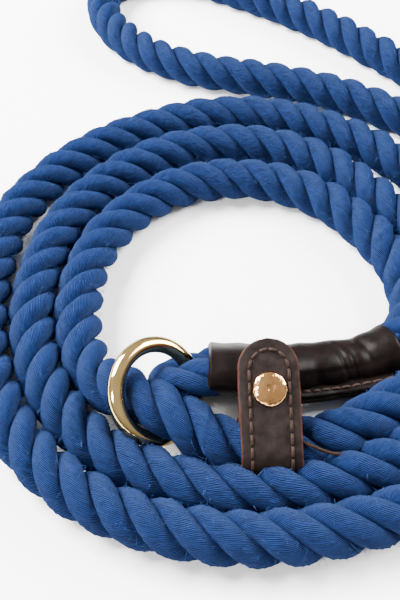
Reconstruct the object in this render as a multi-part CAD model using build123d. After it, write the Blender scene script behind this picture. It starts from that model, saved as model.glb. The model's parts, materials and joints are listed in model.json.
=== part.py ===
"""Rope slip lead, laid down in a loose coil.

One length of three-strand rope. Its noose end is folded round a brass ring and sewn into a leather
sleeve, and the rope runs back through the ring. A leather stopper is riveted round the running rope.
After the noose the rope lies in a coil, and its other end is turned back into a hand loop, which a
second sleeve holds.

Millimetres. +X runs from the ring towards the hand loop's sleeve, +Y towards the hand loop's bend,
+Z up. The origin is under the middle of the whole lead, on the surface that it lies on.
"""

from build123d import *
import math
import os

os.makedirs("parts", exist_ok=True)

# ---------------------------------------------------------------- driving dimensions

ROPE_D = 12.0
EYE_ROPE_D = 8.4  # the rope is pulled flat where it folds round the ring
LEATHER = 1.3  # sleeve leather
GAP = 0.3  # between the leather and what it covers
THREAD_D = 0.8

RING_WIRE_D = 4.0
RING_MEAN_R = 11.4
RING_CENTRE = (-10.5, -39.74, 13.0)
RING_LEAN = 36.0  # degrees, its left side lifts over the rope
RING_FACE = 56.5  # degrees, how steeply it faces
EYE_BEARING = 20.0  # degrees round the ring from its low side to the rope eye
EYE_LEG_OFF = 4.5  # from the splice's middle to each of the eye's legs
EYE_LEG_REACH = 0.7  # how far back to the sleeve's mouth the legs stay apart
EYE_LEG_BEND_R = 10.0

STRAP_W = 14.0
STRAP_OUTER_T = 0.9
STRAP_LINING_T = 0.7
STRAP_BORE_R = 6.5
TONGUE_L = 25.4  # from the bend over the rope to the rounded tip
TONGUE_SLOPE = 32.0  # degrees, the tongue leans over the eye's sleeve
RIVET_AT = 13.6  # along the tongue
RIVET_HEAD_D = 8.1
RIVET_HEAD_H = 1.5
DIMPLE_R = 1.1  # ball that dents the middle of the cap
DIMPLE_RISE = 0.7  # that ball's middle above the top of the cap
RIVET_BASE_D = 7.0
RIVET_BASE_T = 0.8
RIVET_POST_D = 3.0
STITCH = 2.3  # from one needle hole to the next
STITCH_FROM = 7.5  # along the tongue, clear of the bend
SEAM_INSET = 2.0  # from the leather's edge to the stitching
TAIL_D = 0.9  # end of the stopper's thread
# Its corners: degrees along the rope from the stopper, and degrees up round the rope.
TAIL_CORNERS = ((7.6, 40), (11.5, 30), (15.5, 15), (20, 0))

COIL_CENTRE = (14.0, 2.0)  # in the lay's own plan
RUN_R = 54.5  # the rope's circle where the stopper slides
STOPPER_BEARING = -87.6  # degrees round the coil
LAY_SHIFT = (-37.3, -45.5)  # puts the origin under the middle of the lead

ROPE_R = ROPE_D / 2
EYE_R = EYE_ROPE_D / 2
WIRE_R = RING_WIRE_D / 2
STRAP_T = STRAP_OUTER_T + STRAP_LINING_T
STRAP_R = STRAP_BORE_R + STRAP_T
RUN_Z = STRAP_R + GAP  # the rope's height where the stopper is round it

UPWARD = (Align.CENTER, Align.CENTER, Align.MIN)  # a round piece that stands on its plane

# ---------------------------------------------------------------- the rope's route

# From the eye's sleeve round the noose, then under and through the ring.
NOOSE_POINTS = (
    (49.5, -22.6, 7.7),
    (55.2, -17.3, 7.1),
    (58.2, -9.3, 6.3),
    (58.4, 0, 6),
    (56, 10.5, 6),
    (50.5, 21, 6),
    (43, 31, 6),
    (33, 39.5, 6),
    (18, 45.3, 6),
    (1, 44.6, 6),
    (-14.5, 37, 6),
    (-26.2, 23.5, 6),
    (-32.6, 8, 6),
    (-33.6, -10, 6),
    (-31, -24, 6),
    (-24.5, -34.5, 7.5),
    (-13.5, -41.0, 13),
    (-4.5, -46.6, 13.8),
    (1.8, -50.2, 10.6),
    (6.5, -51.7, 8.9),
)

# The rope's distance from the coil's centre, every half step where the stopper slides and then every
# whole step, as unevenly as it was laid down.
COIL_STEP = 24.0
SLIDE_START = -91.0
SLIDE_CORNERS = 4
COIL_START = -33.0
RUN_DOWN_Z = 7.2  # the first corner after the stopper, on the way down
COIL_RADII = (
    59.5, 59.0, 56.0, 53.2, 57.0, 60.8, 60.6, 59.4, 59.4, 60.3, 63.6, 67.0, 68.8, 69.8, 70.0,
    72.0, 71.8, 70.2, 71.0, 75.5, 76.4, 74.6, 75.4, 72.8, 72.8, 76.0, 79.4, 81.4, 82.4, 82.4,
)

# From the coil to the hand loop's sleeve.
STANDING_POINTS = (
    (84, -52, 6),
    (106, -39, 6),
    (124, -24, 6),
    (133.5, -7, 6),
    (134, 11, 6.4),
    (127.5, 27.5, 7.6),
    (118.5, 41.2, 7.8),
)

# The stretches that the rope is made in, and how many of its corners each one has. The rest of them
# are rope_standing.
ROPE_STRETCHES = (
    ("rope_noose_right", 8),
    ("rope_noose_left", 7),
    ("rope_run", 10),
    ("rope_coil_inner_top", 7),
    ("rope_coil_inner_bottom", 8),
    ("rope_coil_outer_top", 8),
    ("rope_coil_outer_bottom", 7),
)

# Round the hand loop, from one side of the sleeve's mouth to the other.
HANDLE_POINTS = (
    (103.5, 51.3, 7.8),
    (95, 62, 7.0),
    (84, 69.5, 6),
    (70, 76, 6),
    (53, 87.5, 6),
    (36, 95, 6),
    (18, 99.5, 6),
    (-1, 104.5, 6),
    (-16, 112, 6),
    (-29, 124, 6),
    (-37.5, 139, 6),
    (-39.5, 155, 6),
    (-31.5, 168, 6),
    (-16, 172, 6),
    (1, 168, 6),
    (18, 157, 6),
    (35, 145.5, 6),
    (52, 131, 6),
    (67.5, 114, 6),
    (83, 96, 6),
    (95, 83.5, 6),
    (105.4, 69.5, 7.0),
    (113.5, 58.7, 7.8),
)

# Each sleeve's middle line, with half the width and half the thickness of what is inside it.
EYE_SLEEVE = (
    ((2.5, -31.9, 11.6), 11.6, 4.4),
    ((9.0, -32.2, 11.6), 11.3, 4.4),
    ((17.0, -31.6, 9.6), 8.8, 4.4),
    ((25.0, -29.8, 7.2), 5.6, 4.6),
    ((34.0, -28.0, 6.5), 4.9, 4.7),
    ((41.0, -26.2, 6.5), 4.9, 4.7),
    ((45.5, -24.7, 7.0), 5.2, 5.0),
    ((49.5, -22.6, 7.7), 6.1, 6.0),
)
EYE_LEAN = 135.6  # degrees, from +Y over the top to the way that the flat eye spreads
SPLICE_FROM = 2  # stations of the sleeve where the eye's two legs become one rope
SPLICE_TO = 7
HANDLE_SLEEVE = (
    ((103.0, 62.5, 7.8), 12.6, 6.05),
    ((108.5, 55.0, 7.8), 12.3, 6.05),
    ((118.5, 41.2, 7.8), 7.4, 6.05),
    ((127.0, 27.8, 7.8), 6.3, 6.05),
)
HANDLE_SPLICE_FROM = 1
HANDLE_SPLICE_TO = 2
FLANGE_W = 3.0  # how far the sewn edges stand out of a sleeve
# Which way each sleeve's sewn edges point, in degrees, and their first and last stations.
EYE_FLANGE = (180, 3, 6)
HANDLE_FLANGE = (0, 2, 3)


def on_coil(bearing, radius, z):
    """A point at this bearing and distance from the coil's centre."""
    a = math.radians(bearing)
    return (COIL_CENTRE[0] + radius * math.cos(a), COIL_CENTRE[1] + radius * math.sin(a), z)


def coil_points():
    """The coil's corners, outside its circle so that the runs between them touch it."""
    half_step = COIL_STEP / 2
    points = []
    for k in range(SLIDE_CORNERS):
        corner = RUN_R / math.cos(math.radians(half_step / 2))
        points.append(on_coil(SLIDE_START + half_step * k, corner, RUN_Z))
    for k, radius in enumerate(COIL_RADII):
        z = RUN_DOWN_Z if k == 0 else ROPE_R
        corner = radius / math.cos(math.radians(half_step))
        points.append(on_coil(COIL_START + COIL_STEP * k, corner, z))
    return points


def corner_radii(points):
    """For each corner, 0.45 of its shorter run over the tangent of half its turn."""
    radii = []
    for a, b, c in zip(points, points[1:], points[2:]):
        into = Vector(*b) - Vector(*a)
        out = Vector(*c) - Vector(*b)
        half_turn = math.radians(into.get_angle(out)) / 2
        radii.append(0.45 * min(into.length, out.length) / math.tan(half_turn))
    return radii


def middle(a, b):
    """The point half way between two corners."""
    return tuple((p + q) / 2 for p, q in zip(a, b))


def rope_tube(name, points, first, last):
    """The tube between two corners of a route, cut half way along the runs where it carries on."""
    radii = corner_radii(points)
    start = points[0] if first == 0 else middle(points[first - 1], points[first])
    end = points[-1] if last == len(points) - 1 else middle(points[last], points[last + 1])
    inner = range(max(first, 1), min(last, len(points) - 2) + 1)
    corner_list = [radii[k - 1] for k in inner]
    path = FilletPolyline(start, *[points[k] for k in inner], end, radius=corner_list)
    section = Plane(path @ 0, z_dir=path % 0) * Circle(ROPE_R)
    tube = sweep(section, path=path)
    error = tube.volume / (math.pi * ROPE_R**2 * path.length) - 1
    print(f"{name}: {path.length:.1f} mm, volume {100 * error:+.2f}%, radii", [round(r) for r in corner_list])
    return tube, path.length


# ---------------------------------------------------------------- ring and eye


def ring_axes():
    """The ring's centre, its low side's direction, its upper direction and its own axis."""
    lean = math.radians(RING_LEAN)
    face = math.radians(RING_FACE)
    up = Vector(0, math.sin(face), math.cos(face))
    facing = Vector(0, -math.cos(face), math.sin(face))
    low = Vector(1, 0, 0) * math.cos(lean) - facing * math.sin(lean)
    return Vector(*RING_CENTRE), low, up, low.cross(up)


def make_ring():
    """The brass ring, a round wire bent into a circle."""
    centre, low, _, axis = ring_axes()
    return Plane(centre, x_dir=low, z_dir=axis) * Torus(RING_MEAN_R, WIRE_R)


def sleeve_frame(stations, k, lean):
    """The section plane of a sleeve at one station: x along its spread, z along the sleeve."""
    before = Vector(*stations[max(k - 1, 0)][0])
    after = Vector(*stations[min(k + 1, len(stations) - 1)][0])
    along = (after - before).normalized()
    level = Vector(0, 0, 1).cross(along).normalized()
    rise = along.cross(level)
    a = math.radians(lean)
    spread = level * math.cos(a) + rise * math.sin(a)
    return Plane(Vector(*stations[k][0]), x_dir=spread, z_dir=along)


def make_eye():
    """The rope folded round the ring's wire, and its two legs as far as the splice."""
    centre, low, up, _ = ring_axes()
    a = math.radians(EYE_BEARING)
    wire = centre + (low * math.cos(a) + up * math.sin(a)) * RING_MEAN_R
    wire_way = up * math.cos(a) - low * math.sin(a)
    mouth = Vector(*EYE_SLEEVE[1][0])
    back = mouth - wire
    back = (back - wire_way * back.dot(wire_way)).normalized()
    side = back.cross(wire_way)
    around = WIRE_R + GAP + EYE_R
    splice = sleeve_frame(EYE_SLEEVE, SPLICE_FROM, EYE_LEAN)
    legs = []
    for sign in (-1, 1):
        fold = wire + side * (around * sign)
        bend = fold + back * (mouth - wire).length * EYE_LEG_REACH
        inside = splice.origin + splice.x_dir * (EYE_LEG_OFF * sign)
        legs.append((inside, bend, fold))
    (in_a, bend_a, fold_a), (in_b, bend_b, fold_b) = legs
    path = (
        FilletPolyline(in_a, bend_a, fold_a, radius=EYE_LEG_BEND_R)
        + ThreePointArc(fold_a, wire - back * around, fold_b)
        + FilletPolyline(fold_b, bend_b, in_b, radius=EYE_LEG_BEND_R)
    )
    section = Plane(path @ 0, z_dir=path % 0) * Circle(EYE_R)
    tube = sweep(section, path=path)
    error = tube.volume / (math.pi * EYE_R**2 * path.length) - 1
    print(f"rope_eye: {path.length:.1f} mm, volume {100 * error:+.2f}%, fold radius {around:.1f}")
    return tube, path.length


# ---------------------------------------------------------------- sleeves


def slot_loft(stations, lean, grow, first, last):
    """One solid through a rounded slot at each station."""
    slots = []
    for k in range(first, last + 1):
        _, half_w, half_t = stations[k]
        slot = SlotOverall(2 * (half_w + grow), 2 * (half_t + grow))
        slots.append(sleeve_frame(stations, k, lean) * slot)
    return loft(slots)


def make_flange(stations, way, first, last):
    """The two sewn edges of the leather, a strip that stands out of the sleeve's side."""
    strips = []
    for k in range(first, last + 1):
        half_t = stations[k][2]
        root = half_t + GAP + LEATHER / 2
        width = FLANGE_W + LEATHER / 2
        strip = Pos(root + width / 2, 0) * Rectangle(width, 2 * LEATHER)
        strips.append(sleeve_frame(stations, k, way) * strip)
    return loft(strips)


def make_sleeve(stations, lean, way, first, last):
    """Leather wrapped round the stations, with its sewn flange between two of them."""
    end = len(stations) - 1
    outside = slot_loft(stations, lean, GAP + LEATHER, 0, end)
    inside = slot_loft(stations, lean, GAP, 0, end)
    return outside + make_flange(stations, way, first, last) - inside


def stitch_row(holes, normal, thickness):
    """One thread sewn along a row of holes: a line on each face, and a pin down each hole."""
    row = []
    r = THREAD_D / 2
    for face in (0.5, -0.5):
        for a, b in zip(holes, holes[1:]):
            lift = normal * (thickness * face)
            row.append(Plane(a + lift, z_dir=b - a) * Cylinder(r, (b - a).length, align=UPWARD))
    for hole in holes:
        pin = Cylinder(r, thickness + 2 * r)
        row.append(Plane(hole, z_dir=normal) * pin)
    return row[0].fuse(*row[1:])


def flange_stitches(stations, way, first, last):
    """The thread along a sleeve's flange."""
    holes = []
    for k in range(first, last):
        near, far = (sleeve_frame(stations, j, way) for j in (k, k + 1))
        out_near, out_far = (stations[j][2] + GAP + LEATHER + FLANGE_W - SEAM_INSET for j in (k, k + 1))
        a = near.origin + near.x_dir * out_near
        b = far.origin + far.x_dir * out_far
        count = max(1, round((b - a).length / STITCH))
        holes += [a + (b - a) * (j / count) for j in range(count)]
    normal = sleeve_frame(stations, (first + last) // 2, way).y_dir
    return stitch_row(holes, normal, 2 * LEATHER)


# ---------------------------------------------------------------- stopper


def stopper_plane():
    """Origin on the rope's line, x along the rope, y towards the coil's centre, z up."""
    a = math.radians(STOPPER_BEARING)
    return Plane(on_coil(STOPPER_BEARING, RUN_R, RUN_Z), x_dir=(-math.sin(a), math.cos(a), 0), z_dir=(0, 0, 1))


def tongue_plane():
    """In the stopper's own frame: origin where the tongue's upper face leaves the bend, x along the
    rope, y along the tongue to its tip, z out of its upper face."""
    a = math.radians(TONGUE_SLOPE)
    leave = (0, -STRAP_R * math.sin(a), STRAP_R * math.cos(a))
    return Plane(leave, x_dir=(1, 0, 0), z_dir=(0, -math.sin(a), math.cos(a)))


def strap_profile(radius, thickness):
    """The side view of the closed strap: round the rope, then out along the tongue."""
    a = math.radians(TONGUE_SLOPE)
    middle_off = STRAP_R - STRAP_T
    x = TONGUE_L / 2 * math.cos(a) - middle_off * math.sin(a)
    y = TONGUE_L / 2 * math.sin(a) + middle_off * math.cos(a)
    return Circle(radius) + Pos(x, y) * Rot(0, 0, TONGUE_SLOPE) * Rectangle(TONGUE_L, thickness)


def tongue_outline():
    """Everything that the rounded tip leaves of the strap."""
    tip_r = STRAP_W / 2
    straight = TONGUE_L - tip_r
    back = 2 * STRAP_R
    plan = Pos(0, (straight - back) / 2) * Rectangle(STRAP_W, straight + back) + Pos(0, straight) * Circle(tip_r)
    return tongue_plane() * extrude(plan, 4 * STRAP_R, both=True)


def strap_part(profile):
    """One leather of the strap: its side view at full width, cut to the tongue and pierced for the rivet."""
    block = extrude(Plane.YZ * profile, STRAP_W / 2, both=True)
    hole = tongue_plane() * Pos(0, RIVET_AT, 0) * Cylinder(RIVET_POST_D / 2, 6 * STRAP_T)
    return (block & tongue_outline()) - hole


def make_strap():
    """The outer leather and its lining; the lining's bore follows the rope's circle."""
    lining_r = STRAP_R - STRAP_OUTER_T
    whole = strap_profile(STRAP_R, 2 * STRAP_T)
    inner = strap_profile(lining_r, 2 * STRAP_LINING_T)
    outer = strap_part(whole - inner)
    bore = Pos(0, RUN_R, 0) * Torus(RUN_R, STRAP_BORE_R)
    lining = strap_part(inner) - bore
    return outer, lining


def make_rivet():
    """A domed cap with a dimple, and the post with its flat base."""
    on_tongue = tongue_plane() * Pos(0, RIVET_AT, 0)
    head_r = RIVET_HEAD_D / 2
    ball_r = (head_r**2 + RIVET_HEAD_H**2) / (2 * RIVET_HEAD_H)
    ball = Pos(0, 0, RIVET_HEAD_H - ball_r) * Sphere(ball_r)
    cap = ball & Cylinder(head_r, RIVET_HEAD_H, align=UPWARD)
    cap -= Pos(0, 0, RIVET_HEAD_H + DIMPLE_RISE) * Sphere(DIMPLE_R)
    post = Pos(0, 0, -2 * STRAP_T) * Cylinder(RIVET_POST_D / 2, 2 * STRAP_T, align=UPWARD)
    base = Pos(0, 0, -2 * STRAP_T - RIVET_BASE_T) * Cylinder(RIVET_BASE_D / 2, RIVET_BASE_T, align=UPWARD)
    return on_tongue * cap, on_tongue * (post + base)


def make_stopper_stitches():
    """The thread up one side of the tongue, round its tip and down the other side."""
    inset = STRAP_W / 2 - SEAM_INSET
    straight = TONGUE_L - STRAP_W / 2
    count = round((straight - STITCH_FROM) / STITCH)
    side = [STITCH_FROM + (straight - STITCH_FROM) * k / count for k in range(count)]
    turns = round(math.pi * inset / STITCH)
    holes = [(-inset, s) for s in side]
    for k in range(turns + 1):
        a = math.pi * (1 - k / turns)
        holes.append((inset * math.cos(a), straight + inset * math.sin(a)))
    holes += [(inset, s) for s in reversed(side)]
    seam = stitch_row([Vector(x, s, -STRAP_T) for x, s in holes], Vector(0, 0, 1), 2 * STRAP_T)
    return tongue_plane() * seam


def make_tail():
    """The end of the thread, from the strap's edge along the near side of the rope."""
    off = ROPE_R + TAIL_D
    points = []
    for turn, rise in TAIL_CORNERS:
        a = math.radians(rise)
        points.append(on_coil(STOPPER_BEARING + turn, RUN_R + off * math.cos(a), RUN_Z + off * math.sin(a)))
    path = FilletPolyline(*points, radius=corner_radii(points))
    return sweep(Plane(path @ 0, z_dir=path % 0) * Circle(TAIL_D / 2), path=path)


# ---------------------------------------------------------------- the whole lead


def write(name, shape):
    """Saves one piece where the whole lead lies."""
    export_step(Pos(LAY_SHIFT[0], LAY_SHIFT[1], 0) * shape, f"parts/{name}.step")


def main():
    coil = coil_points()
    route = list(NOOSE_POINTS) + coil + list(STANDING_POINTS)
    last = len(route) - 1
    total = 0
    first = 0
    for name, corners in ROPE_STRETCHES:
        end = first + corners - 1
        tube, length = rope_tube(name, route, first, end)
        write(name, tube)
        total += length
        first = end + 1
    tube, length = rope_tube("rope_standing", route, first, last)
    write("rope_standing", tube)
    total += length
    half = len(HANDLE_POINTS) // 2
    for name, first, end in (("rope_handle_inner", 0, half), ("rope_handle_outer", half + 1, 2 * half)):
        tube, length = rope_tube(name, HANDLE_POINTS, first, end)
        write(name, tube)
        total += length
    eye, length = make_eye()
    write("rope_eye", eye)
    total += length
    write("rope_eye_splice", slot_loft(EYE_SLEEVE, EYE_LEAN, 0, SPLICE_FROM, SPLICE_TO))
    write("rope_handle_splice", slot_loft(HANDLE_SLEEVE, 0, 0, HANDLE_SPLICE_FROM, HANDLE_SPLICE_TO))
    print(f"rope outside the splices: {total:.0f} mm")

    write("ring", make_ring())
    write("eye_sleeve", make_sleeve(EYE_SLEEVE, EYE_LEAN, *EYE_FLANGE))
    write("eye_sleeve_stitching", flange_stitches(EYE_SLEEVE, *EYE_FLANGE))
    write("handle_sleeve", make_sleeve(HANDLE_SLEEVE, 0, *HANDLE_FLANGE))
    write("handle_sleeve_stitching", flange_stitches(HANDLE_SLEEVE, *HANDLE_FLANGE))

    stopper = stopper_plane()
    outer, lining = make_strap()
    cap, post = make_rivet()
    write("stopper_outer", stopper * outer)
    write("stopper_lining", stopper * lining)
    write("stopper_stitching", stopper * make_stopper_stitches())
    write("stopper_rivet_cap", stopper * cap)
    write("stopper_rivet_post", stopper * post)
    write("stopper_thread_tail", make_tail())


main()
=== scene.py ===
import json
import math

import bpy
import numpy as np
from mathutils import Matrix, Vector


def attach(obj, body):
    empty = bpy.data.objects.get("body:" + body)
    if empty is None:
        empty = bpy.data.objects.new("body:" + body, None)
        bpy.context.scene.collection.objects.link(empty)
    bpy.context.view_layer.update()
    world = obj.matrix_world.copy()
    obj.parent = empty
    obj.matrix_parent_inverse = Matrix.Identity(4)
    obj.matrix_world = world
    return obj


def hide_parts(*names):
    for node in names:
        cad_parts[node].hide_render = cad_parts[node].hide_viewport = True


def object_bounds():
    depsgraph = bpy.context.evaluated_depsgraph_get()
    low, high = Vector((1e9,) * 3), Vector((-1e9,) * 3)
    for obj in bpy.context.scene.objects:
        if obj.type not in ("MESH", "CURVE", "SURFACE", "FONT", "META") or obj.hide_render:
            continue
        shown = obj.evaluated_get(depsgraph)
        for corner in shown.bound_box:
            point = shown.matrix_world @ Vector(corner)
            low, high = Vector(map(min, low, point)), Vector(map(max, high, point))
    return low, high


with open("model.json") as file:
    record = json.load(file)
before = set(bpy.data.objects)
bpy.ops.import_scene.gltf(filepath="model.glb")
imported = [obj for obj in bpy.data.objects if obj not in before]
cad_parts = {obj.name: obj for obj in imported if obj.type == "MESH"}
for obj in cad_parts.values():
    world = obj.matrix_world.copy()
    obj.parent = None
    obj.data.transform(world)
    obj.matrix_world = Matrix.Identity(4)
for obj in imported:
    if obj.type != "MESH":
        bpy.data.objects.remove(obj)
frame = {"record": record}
CAD_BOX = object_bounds()

bl_info = {
    "name": "Rope slip lead",
    "version": (1, 0, 0),
    "blender": (4, 5, 0),
    "location": "View3D > Sidebar > Slip lead",
    "description": "Makes a three-strand rope slip lead with its ring, sleeves and stopper",
    "category": "Add Mesh",
}

MM = 0.001
JOINTS = {joint["name"]: joint for joint in frame["record"]["behaviour"]["joints"]}
FLOOR = float(CAD_BOX[0][2])

# The lay's own plan, in metres, is the one that the rope's route is written in. Its coil centre is the
# pivot that the stopper travels round.
COIL_CENTRE = np.array((0.014, 0.002, 0.0))
LAY = np.array(JOINTS["stopper_slide"]["pos_m"]) - COIL_CENTRE
RING_CENTRE = np.array(JOINTS["ring_spin"]["pos_m"])
RING_AXIS = np.array(JOINTS["ring_spin"]["axis"])
RING_MEAN_R = 11.4 * MM
RING_LEAN = math.radians(56.5)
EYE_BEARING = math.radians(20)
RUN_Z = 0.0079

# ------------------------------------------------------------------------------- the rope's route

NOOSE_POINTS = (
    (0.0495, -0.0226, 0.0077),
    (0.0552, -0.0173, 0.0071),
    (0.0582, -0.0093, 0.0063),
    (0.0584, 0.0, 0.006),
    (0.056, 0.0105, 0.006),
    (0.0505, 0.021, 0.006),
    (0.043, 0.031, 0.006),
    (0.033, 0.0395, 0.006),
    (0.018, 0.0453, 0.006),
    (0.001, 0.0446, 0.006),
    (-0.0145, 0.037, 0.006),
    (-0.0262, 0.0235, 0.006),
    (-0.0326, 0.008, 0.006),
    (-0.0336, -0.010, 0.006),
    (-0.031, -0.024, 0.006),
    (-0.0245, -0.0345, 0.0075),
    (-0.0135, -0.041, 0.0125),
    (-0.0045, -0.0472, 0.0128),
    (0.0018, -0.0508, 0.0101),
    (0.0065, -0.0520, 0.0087),
)
COIL_STEP = math.radians(24)
SLIDE_START = math.radians(-91)
SLIDE_CORNERS = 4
SLIDE_LAST_IN = 0.0007  # how far the last of these corners lies inside the others' circle
RUN_R = 0.0543
COIL_START = math.radians(-33)
COIL_FIRST_Z = 0.0068
ROPE_Z = 0.006
SEAM_BEARING = math.radians(-81.6)  # under the stopper wherever it slides
STOPPER_BEARING = math.radians(-87.6)
COIL_RADII = (
    0.0568, 0.0574, 0.0550, 0.0520, 0.0570, 0.0606, 0.0604, 0.0597, 0.0588, 0.0594, 0.0628, 0.0654, 0.0646,
    0.0640, 0.0640, 0.0690, 0.0705, 0.0696, 0.0704, 0.0732, 0.0766, 0.0748, 0.0748, 0.0752, 0.0722, 0.0752,
    0.0774, 0.0764, 0.0752, 0.0770,
)
STANDING_POINTS = (
    (0.084, -0.052, 0.006),
    (0.106, -0.039, 0.006),
    (0.124, -0.024, 0.006),
    (0.1335, -0.007, 0.006),
    (0.134, 0.011, 0.0064),
    (0.1275, 0.0275, 0.0076),
    (0.1185, 0.0412, 0.0078),
)
HANDLE_POINTS = (
    (0.1035, 0.0513, 0.0078),
    (0.095, 0.062, 0.007),
    (0.084, 0.0695, 0.006),
    (0.070, 0.076, 0.006),
    (0.053, 0.0875, 0.006),
    (0.036, 0.095, 0.006),
    (0.018, 0.0995, 0.006),
    (-0.001, 0.1045, 0.006),
    (-0.016, 0.112, 0.006),
    (-0.029, 0.124, 0.006),
    (-0.0375, 0.139, 0.006),
    (-0.0395, 0.155, 0.006),
    (-0.0315, 0.168, 0.006),
    (-0.016, 0.172, 0.006),
    (0.001, 0.168, 0.006),
    (0.018, 0.157, 0.006),
    (0.035, 0.1455, 0.006),
    (0.052, 0.131, 0.006),
    (0.0675, 0.114, 0.006),
    (0.083, 0.096, 0.006),
    (0.095, 0.0835, 0.006),
    (0.1054, 0.0695, 0.007),
    (0.1135, 0.0587, 0.0078),
)

# Middle line of each sleeve, with half the width and half the thickness of its outside.
EYE_SLEEVE = (
    ((0.0025, -0.0316, 0.0114), 0.0126, 0.0061),
    ((0.0090, -0.0318, 0.0112), 0.0122, 0.0061),
    ((0.0170, -0.0310, 0.0094), 0.0100, 0.0062),
    ((0.0250, -0.0294, 0.0076), 0.0072, 0.0063),
    ((0.0340, -0.0277, 0.0068), 0.0064, 0.0062),
    ((0.0410, -0.0262, 0.0067), 0.0064, 0.0062),
    ((0.0455, -0.0248, 0.0070), 0.0068, 0.0066),
    ((0.0495, -0.0232, 0.0074), 0.0072, 0.0070),
)
EYE_LEAN = math.radians(135.6)
HANDLE_SLEEVE = (
    ((0.1030, 0.0625, 0.0078), 0.0140, 0.0077),
    ((0.1085, 0.0550, 0.0078), 0.0138, 0.0077),
    ((0.1185, 0.0412, 0.0078), 0.0092, 0.0077),
    ((0.1270, 0.0278, 0.0078), 0.0079, 0.0077),
)


def laid(points):
    """Points of the lay's plan, moved to where the lead lies."""
    return np.array(points) + LAY


def coil_points():
    """The coil's corners: at each bearing, outside the circle so that the runs between them touch it."""
    slide = SLIDE_START + COIL_STEP / 2 * np.arange(SLIDE_CORNERS)
    turns = COIL_START + COIL_STEP * np.arange(len(COIL_RADII))
    bearing = np.concatenate([slide, turns])
    slide_r = np.full(SLIDE_CORNERS, RUN_R / math.cos(COIL_STEP / 4))
    slide_r[-1] -= SLIDE_LAST_IN
    radius = np.concatenate([slide_r, np.array(COIL_RADII) / math.cos(COIL_STEP / 2)])
    height = np.full(len(bearing), ROPE_Z)
    height[:SLIDE_CORNERS] = RUN_Z
    height[SLIDE_CORNERS] = COIL_FIRST_Z
    plan = np.stack([radius * np.cos(bearing), radius * np.sin(bearing), height], axis=1)
    return plan + COIL_CENTRE


def smooth_line(points, name):
    """Reads the points of a NURBS line whose control points are the route."""
    curve = bpy.data.curves.new(name, "CURVE")
    curve.dimensions = "3D"
    curve.resolution_u = 20
    spline = curve.splines.new("NURBS")
    spline.points.add(len(points) - 1)
    flat = np.concatenate([np.array(points), np.ones((len(points), 1))], axis=1)
    spline.points.foreach_set("co", flat.ravel())
    spline.order_u = 3
    spline.use_endpoint_u = True
    holder = bpy.data.objects.new(name, curve)
    mesh = bpy.data.meshes.new_from_object(holder)
    line = np.empty(len(mesh.vertices) * 3)
    mesh.vertices.foreach_get("co", line)
    bpy.data.meshes.remove(mesh)
    bpy.data.objects.remove(holder)
    bpy.data.curves.remove(curve)
    line = line.reshape(-1, 3)
    apart = np.linalg.norm(np.diff(line, axis=0), axis=1) > 1e-6
    return line[np.concatenate([[True], apart])]


# ------------------------------------------------------------------------------- surfaces


def unit(v):
    return v / np.linalg.norm(v, axis=-1, keepdims=True)


def distance_along(line):
    """Distance of each point from the first, measured along the line."""
    return np.concatenate([[0.0], np.cumsum(np.linalg.norm(np.diff(line, axis=0), axis=1))])


def sampled(values, where, s):
    """Rows of values, known at distances s, read off at other distances."""
    return np.stack([np.interp(where, s, values[:, k]) for k in range(values.shape[1])], axis=-1)


def full_turn(count):
    """Angles that share out a full turn."""
    return np.linspace(0, 2 * math.pi, count, endpoint=False)


def axes_along(line, up=(0, 0, 1)):
    """Along, sideways and upward directions at every point, with sideways level to the given up."""
    along = unit(np.gradient(line, axis=0))
    side = unit(np.cross(np.array(up, float), along))
    top = np.cross(along, side)
    return along, side, top


def inside_out(points, closed, caps):
    """Whether the volume that a grid of points holds comes out negative: six times the volume is the sum
    of a . (b x c) over its triangles."""
    grid = points - points.mean((0, 1))
    if closed:
        grid = np.concatenate([grid, grid[:, :1]], axis=1)
    a, b, c, d = grid[:-1, :-1], grid[:-1, 1:], grid[1:, 1:], grid[1:, :-1]
    volume = (a * (np.cross(b, c) + np.cross(c, d))).sum()
    if caps:
        first, last = grid[0], grid[-1]
        volume += (first[:-1].mean(0) * np.cross(first[1:], first[:-1])).sum()
        volume += (last[:-1].mean(0) * np.cross(last[:-1], last[1:])).sum()
    return volume < 0


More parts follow.
